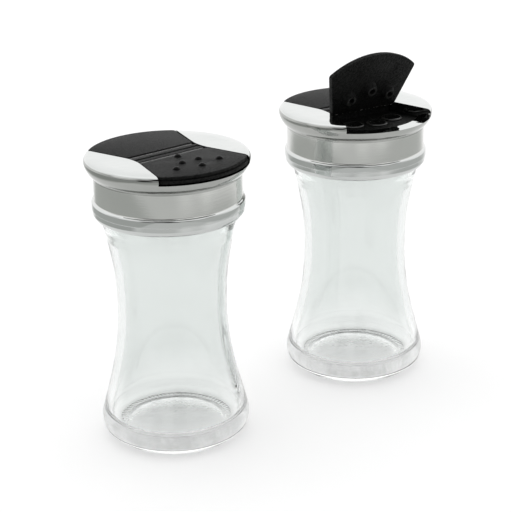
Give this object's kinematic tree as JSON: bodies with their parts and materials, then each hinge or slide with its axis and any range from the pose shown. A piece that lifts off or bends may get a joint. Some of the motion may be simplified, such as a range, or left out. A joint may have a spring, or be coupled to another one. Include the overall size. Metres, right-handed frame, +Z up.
{
  "type": "salt and pepper shakers",
  "caption": "Pair of waisted clear jars with chromed screw caps and black flip tops for sprinkling or pouring salt and pepper.",
  "frame": {"origin": "on the table under the middle of the pair, halfway between the two jars", "axes": "+X runs along the salt shaker's flap hinges towards the pepper shaker, the sprinkle flaps face -Y (the pepper shaker is turned 7 degrees from that), +Z is up"},
  "size_m": [0.1376, 0.0548, 0.1191],
  "materials": {
    "clear_glass": "clear, smooth, with a stippled ring under the foot",
    "chrome_shell": "chromed plastic, mirror top and rim, softly brushed band",
    "black_plastic": "black moulded plastic, fine matte grain on top, smooth below",
    "white_liner": "soft white foam"
  },
  "bodies": {
    "salt_base": {"salt_jar": "clear_glass"},
    "salt_seal": {"salt_seal_ring": "white_liner"},
    "salt_cap": {"salt_cap_shell": "chrome_shell", "salt_cap_insert": "black_plastic", "salt_sprinkle_hinge_web": "black_plastic", "salt_pour_hinge_web": "black_plastic"},
    "salt_sprinkle": {"salt_sprinkle_flap": "black_plastic"},
    "salt_pour": {"salt_pour_flap": "black_plastic"},
    "pepper_base": {"pepper_jar": "clear_glass"},
    "pepper_seal": {"pepper_seal_ring": "white_liner"},
    "pepper_cap": {"pepper_cap_shell": "chrome_shell", "pepper_cap_insert": "black_plastic", "pepper_sprinkle_hinge_web": "black_plastic", "pepper_pour_hinge_web": "black_plastic"},
    "pepper_sprinkle": {"pepper_sprinkle_flap": "black_plastic"},
    "pepper_pour": {"pepper_pour_flap": "black_plastic"}
  },
  "joints": [
    {"name": "salt_cap_rise", "type": "slide", "parent": "salt_base", "child": "salt_seal", "axis": [0, 0, 1], "range_m": [0, 0.016]},
    {"name": "salt_cap_unscrew", "type": "hinge", "parent": "salt_seal", "child": "salt_cap", "pos_m": [-0.0418, -0.0006, 0.09], "axis": [0, 0, 1], "range_deg": [0, 450]},
    {"name": "salt_sprinkle_hinge", "type": "hinge", "parent": "salt_cap", "child": "salt_sprinkle", "pos_m": [-0.0418, -0.00365, 0.0974], "axis": [-1, 0, 0], "range_deg": [0, 95]},
    {"name": "salt_pour_hinge", "type": "hinge", "parent": "salt_cap", "child": "salt_pour", "pos_m": [-0.0418, 0.00245, 0.0974], "axis": [1, 0, 0], "range_deg": [0, 95]},
    {"name": "pepper_lift", "type": "slide", "parent": "salt_base", "child": "pepper_base", "axis": [0, 0, 1], "range_m": [0, 0.15]},
    {"name": "pepper_cap_rise", "type": "slide", "parent": "pepper_base", "child": "pepper_seal", "axis": [0, 0, 1], "range_m": [0, 0.016]},
    {"name": "pepper_cap_unscrew", "type": "hinge", "parent": "pepper_seal", "child": "pepper_cap", "pos_m": [0.0418, 0.0006, 0.09], "axis": [0, 0, 1], "range_deg": [0, 450]},
    {"name": "pepper_sprinkle_hinge", "type": "hinge", "parent": "pepper_cap", "child": "pepper_sprinkle", "pos_m": [0.04143, -0.00243, 0.0974], "axis": [-0.9925, 0.1219, 0], "range_deg": [-68, 27]},
    {"name": "pepper_pour_hinge", "type": "hinge", "parent": "pepper_cap", "child": "pepper_pour", "pos_m": [0.04217, 0.00363, 0.0974], "axis": [0.9925, -0.1219, 0], "range_deg": [0, 95]}
  ],
  "couplings": [
    {"joint": "salt_cap_rise", "follows": "salt_cap_unscrew", "m_per_rad": 0.0020213},
    {"joint": "pepper_cap_rise", "follows": "pepper_cap_unscrew", "m_per_rad": 0.0020213}
  ]
}
